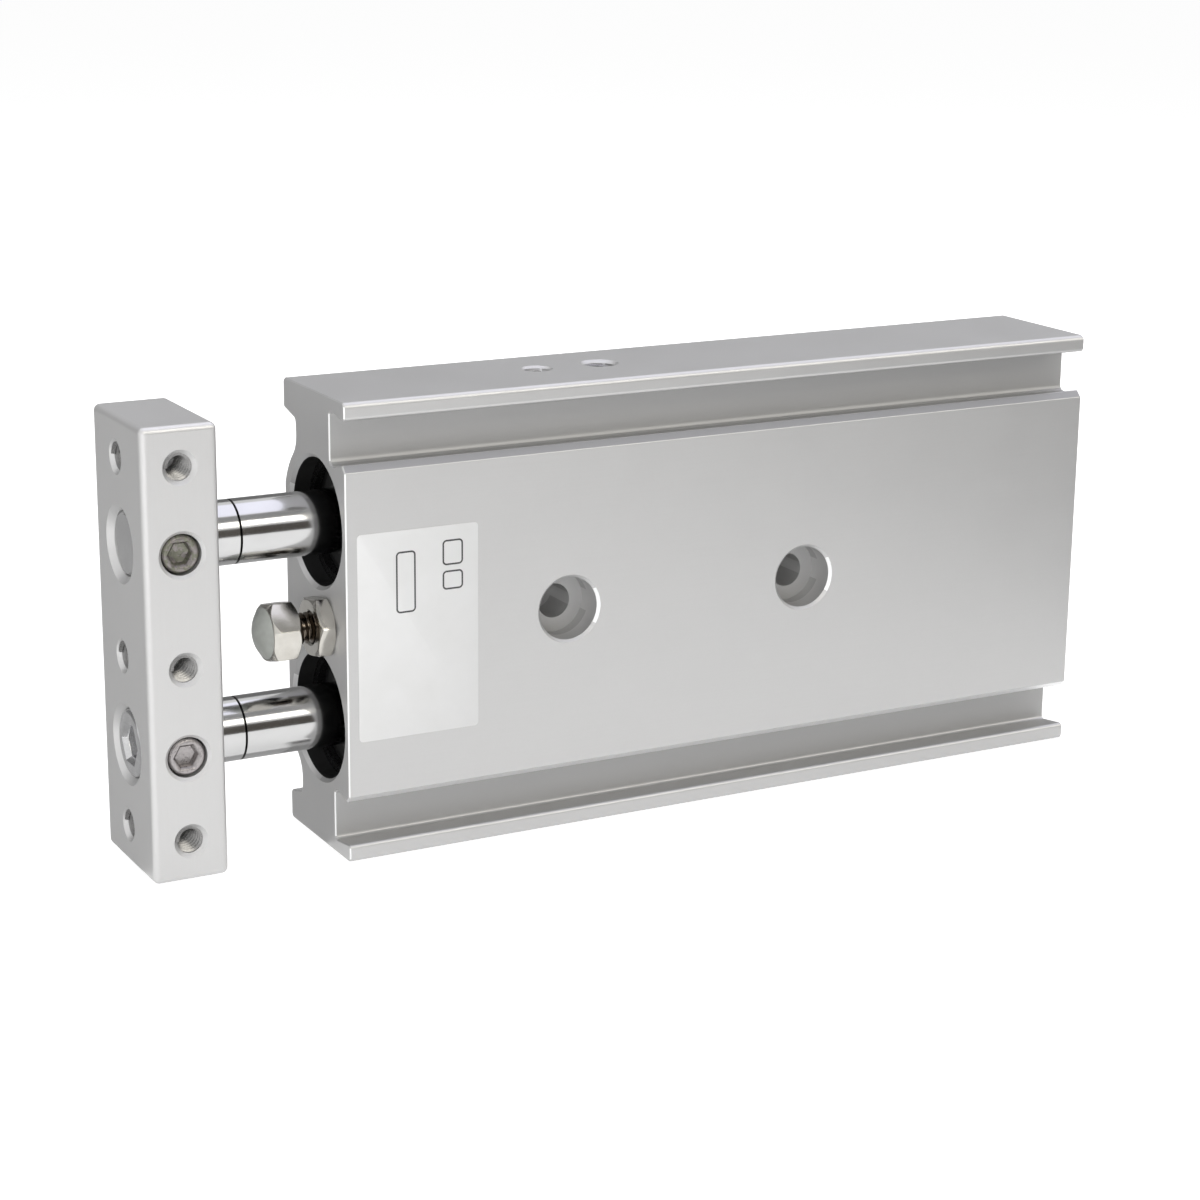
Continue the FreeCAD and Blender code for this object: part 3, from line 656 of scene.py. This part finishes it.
bolt = hexagon(BOLT_AF, 0, HEAD_LENGTH, turned=BOLT_TURNED)
cut(bolt, "INTERSECT", spun([
    (PAD_SEAT, CENTRE_R), (PAD_SEAT, PAD_R + PAD_GAP), (0, PAD_R + PAD_GAP),
    (0, BOLT_AF / 2 - FRONT_IN), (FRONT_TURN, CORNER_R), (HEAD_LENGTH - BACK_TURN, CORNER_R),
    (HEAD_LENGTH, BOLT_AF / 2 - BACK_IN)]))
soften(bolt, HEX_EDGE)
shank = spun([(HEAD_LENGTH - SHANK_IN, ROOT_R), (bolt_length - BOLT_POINT, ROOT_R),
              (bolt_length, ROOT_R - BOLT_TIP)], SHANK_FACETS)
ridge = thread(BOLT_R, BOLT_PITCH, int((bolt_length - HEAD_LENGTH) / BOLT_PITCH), False)
ridge.location.z = HEAD_LENGTH - RIDGE_IN
only(bolt)
shank.select_set(True)
ridge.select_set(True)
bpy.ops.object.join()
placed(bolt, "hexagon_bumper_bolt", (bolt_low.x, bolt_middle.y, bolt_middle.z), (1, 0, 0), nickel)
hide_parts("bumper_bolt")
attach(bolt, "bumper_screw")

nut_low, nut_size, nut_middle = seat("lock_nut")
nut_length = nut_size.x / MM
nut = hexagon(BOLT_AF, 0, nut_length, turned=NUT_TURNED)
cut(nut, "INTERSECT", spun([
    (NUT_CHAMFER, NUT_BORE), (0, NUT_BORE + NUT_CHAMFER), (0, BOLT_AF / 2 - BACK_IN),
    (NUT_TURN, CORNER_R), (nut_length - NUT_TURN, CORNER_R), (nut_length, BOLT_AF / 2 - BACK_IN),
    (nut_length, NUT_BORE + NUT_CHAMFER), (nut_length - NUT_CHAMFER, NUT_BORE),
    (NUT_CHAMFER, NUT_BORE)]))
soften(nut, HEX_EDGE)
placed(nut, "hexagon_lock_nut", (nut_low.x, nut_middle.y, nut_middle.z), (1, 0, 0), nickel)
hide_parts("lock_nut")
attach(nut, "cylinder_body")

pad_low, _, pad_middle = seat("bumper_pad")
sphere = (PAD_R ** 2 + PAD_RISE ** 2) / (2 * PAD_RISE)
rim = math.asin(PAD_R / sphere)
dome = []
for step in range(1, DOME_STEPS + 1):
    angle = rim * step / DOME_STEPS
    dome.append((sphere - sphere * math.cos(angle), sphere * math.sin(angle)))
pad = spun([(0, CENTRE_R)] + dome + [(PAD_RISE + PAD_SEAT - PAD_LIFT, PAD_R)])
placed(pad, "domed_pad", (pad_low.x, pad_middle.y, pad_middle.z), (1, 0, 0), urethane, DOME_SHARP)
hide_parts("bumper_pad")
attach(pad, "bumper_screw")

# ---- label -------------------------------------------------------------------------------------
# A blank polyester label, die cut and stuck on the raised panel beside the front edge. Three empty
# fields are printed on it as thin rounded frames.

LABEL_X, LABEL_Z = (1.45, 17.65), (-13.5, 12.75)    # from the housing's front, from its middle
LABEL_THICK, LABEL_CORNER, LABEL_EDGE = 0.07, 0.5, 0.02
FIELDS = (((6.65, 9.07), (2.45, 10.0)), ((12.9, 15.47), (7.8, 10.8)), ((12.9, 15.47), (4.7, 6.9)))
FIELD_LINE, FIELD_CORNER = 0.11, 0.45

film_white = Finish("white label film", Roughness=0.42)
over = (film_white.part(film_white.place, 0) - housing_low.x) * (1 / MM)
up = (film_white.part(film_white.place, 2) - housing_middle.z) * (1 / MM)
ink = None
for (left, right), (bottom, top) in FIELDS:
    wide = abs(over - (left + right) / 2) - ((right - left) / 2 - FIELD_CORNER)
    high = abs(up - (bottom + top) / 2) - ((top - bottom) / 2 - FIELD_CORNER)
    drawn = abs((wide.most(0.0) ** 2 + high.most(0.0) ** 2) ** 0.5 - FIELD_CORNER) < FIELD_LINE
    ink = ink.most(drawn) if ink else drawn
fade = film_white.noise(4 * MM, detail=3.0)
paper = film_white.mix(fade, (0.72, 0.72, 0.71, 1), (0.79, 0.79, 0.79, 1))
film_white.set("Base Color", film_white.mix(ink, paper, grey(0.05)))
film_white.bump(film_white.noise(2.5 * MM), 0.05 * MM, 0.5)

wide, high = LABEL_X[1] - LABEL_X[0], LABEL_Z[1] - LABEL_Z[0]
label_at = Vector((housing_low.x + (LABEL_X[0] + wide / 2) * MM, housing_low.y,
                   housing_middle.z + (LABEL_Z[0] + high / 2) * MM))
bpy.ops.object.select_all(action="DESELECT")
bpy.ops.mesh.primitive_plane_add(size=1)
label = bpy.context.object
label.scale = (wide, high, 1)
bpy.ops.object.transform_apply(scale=True)
bpy.ops.object.mode_set(mode="EDIT")
bpy.ops.mesh.select_all(action="SELECT")
bpy.ops.mesh.bevel(affect="VERTICES", offset=LABEL_CORNER, segments=4)
bpy.ops.mesh.select_all(action="SELECT")
bpy.ops.mesh.extrude_region_move(TRANSFORM_OT_translate={"value": (0, 0, LABEL_THICK)})
bpy.ops.mesh.select_all(action="SELECT")
bpy.ops.mesh.normals_make_consistent(inside=False)
bpy.ops.object.mode_set(mode="OBJECT")
soften(label, LABEL_EDGE, sharp=40)
placed(label, "blank_label", label_at, (0, -1, 0), film_white)
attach(label, "cylinder_body")

# ---- floor, lights and camera ------------------------------------------------------------------
# A white table in a white room, with broad lamps at the front left, overhead, behind and at the
# left. Reflections show grey cards and bright strips instead of the lamps.

TABLE = 4.0
TABLE_GLOW, TABLE_TONE = 0.80, 0.55
TABLE_GAP = 0.05                # the table is this far under the part, in millimetres
ROOM_LEVEL = 0.32
VIEW_AZIMUTH, VIEW_ELEVATION, VIEW_ROLL = -28.59, 15.43, 0.61
VIEW_DISTANCE, LENS = 0.360, 82.33
BAND_OUT, BAND_WIDE, BAND_SLANT = 0.45, 0.90, 0.52
AIM = Vector((-2.4, 0.1, 26.6)) * MM


def background_rays(among):
    """1 for rays from the camera and for reflected and transmitted ones, 0 for the rest."""
    kinds = [among.node("ShaderNodeLightPath", output=kind)
             for kind in ("Is Camera Ray", "Is Glossy Ray", "Is Transmission Ray")]
    return kinds[0].most(kinds[1]).most(kinds[2])


def flat(name, centre, facing, wide, high, glow, paint=None):
    """A sheet of the studio, not part of the object: glow() fills its emission's sockets."""
    material = bpy.data.materials.new(name)
    shaders = Nodes(material)
    surface = shaders.node("ShaderNodeEmission", {}, glow(shaders))
    if paint:
        coat = shaders.node("ShaderNodeBsdfDiffuse", {}, {"Color": paint})
        surface = shaders.node("ShaderNodeAddShader", {}, {0: coat, 1: surface})
    shaders.give(shaders.tree.nodes["Material Output"], "Surface", surface)
    bpy.ops.object.select_all(action="DESELECT")
    bpy.ops.mesh.primitive_plane_add(size=1, location=centre)
    made = bpy.context.object
    made.name = name
    made.scale = (wide, high, 1)
    made.rotation_euler = Vector(facing).to_track_quat("Z", "Y").to_euler()
    bpy.ops.object.transform_apply(location=True, rotation=True, scale=True)
    made.data.materials.append(material)
    return made


def card(name, centre, facing, wide, high, colour):
    """A card that nothing but a reflection shows."""
    sheet = flat(name, centre, facing, wide, high, lambda shaders: {"Color": colour})
    sheet.visible_camera = False
    sheet.visible_diffuse = False
    sheet.visible_transmission = False
    sheet.visible_shadow = False


def band(name, start, end, colour):
    """A long card that fills a range of heights, in degrees above the horizon in front."""
    middle = math.radians((start + end) / 2)
    outward = Vector((0, -math.cos(middle), math.sin(middle)))
    centre = AIM + (outward + Vector((BAND_SLANT, 0, 0))) * BAND_OUT
    high = 2 * BAND_OUT * math.tan(math.radians(end - start) / 2)
    card(name, centre, -outward, BAND_WIDE, high, colour)


ground_z = cad_box[0].z - TABLE_GAP * MM
flat("table", (0, 0, ground_z), (0, 0, 1), TABLE, TABLE,
     lambda shaders: {"Strength": background_rays(shaders) * TABLE_GLOW}, grey(TABLE_TONE))
# Reflections see this grey card instead of the table under and behind the part: a painted shadow
# of the part on the floor.
card("card_floor", (0, 0.224, ground_z + 0.3 * MM), (0, 0, 1), 0.90, 0.452, grey(0.48))
card("card_behind", (0, 0.45, 0.20), (0, -1, 0), 1.60, 0.40, grey(0.22))
card("card_right", (0.37, -0.30, ground_z + 0.6 * MM), (0, 0, 1), 0.50, 0.60, grey(0.45))
band("band_horizon", -6, 24, (0.12, 0.11, 0.10, 1))
band("band_key", 31, 46, (4.4, 4.25, 3.9, 1))
band("band_gap", 48, 68, grey(0.40))
band("band_overhead", 70, 122, (1.50, 1.50, 1.68, 1))

world = bpy.data.worlds.new("studio")
bpy.context.scene.world = world
room = Nodes(world)
backdrop = room.tree.nodes["Background"]
room.give(backdrop, "Color", (1, 1, 1, 1))
room.give(backdrop, "Strength", background_rays(room) * (1 - ROOM_LEVEL) + ROOM_LEVEL)


def softbox(name, towards, distance, wide, high, radiance):
    """A lamp whose face has a radiance; reflections show the cards in its place."""
    light = bpy.data.lights.new(name, "AREA")
    light.shape = "RECTANGLE"
    light.size, light.size_y = wide, high
    light.energy = radiance * wide * high * math.pi
    holder = bpy.data.objects.new(name, light)
    bpy.context.collection.objects.link(holder)
    ray = Vector(towards).normalized()
    holder.location = AIM + ray * distance
    holder.rotation_euler = ray.to_track_quat("Z", "Y").to_euler()
    holder.visible_glossy = False


softbox("lamp_front", (-0.54, -0.83, 0.12), 0.44, 0.36, 0.20, 6.7)
softbox("lamp_overhead", (0.10, 0.10, 0.95), 0.60, 0.40, 0.30, 5.4)
softbox("lamp_back", (0.35, 0.90, 0.25), 0.62, 0.50, 0.30, 3.5)
softbox("lamp_left", (-0.95, 0.00, 0.05), 0.60, 0.30, 0.30, 2.0)

azimuth, elevation = math.radians(VIEW_AZIMUTH), math.radians(VIEW_ELEVATION)
back = Vector((math.sin(azimuth) * math.cos(elevation), -math.cos(azimuth) * math.cos(elevation),
               math.sin(elevation)))
camera = bpy.data.objects.new("camera", bpy.data.cameras.new("camera"))
bpy.context.collection.objects.link(camera)
camera.data.lens = LENS
camera.data.clip_start = 0.01
turn = back.to_track_quat("Z", "Y").to_matrix().to_4x4()
turn = turn @ Matrix.Rotation(math.radians(VIEW_ROLL), 4, "Z")
camera.matrix_world = Matrix.Translation(AIM + back * VIEW_DISTANCE) @ turn
bpy.context.scene.camera = camera
bpy.context.scene.view_settings.view_transform = "Standard"
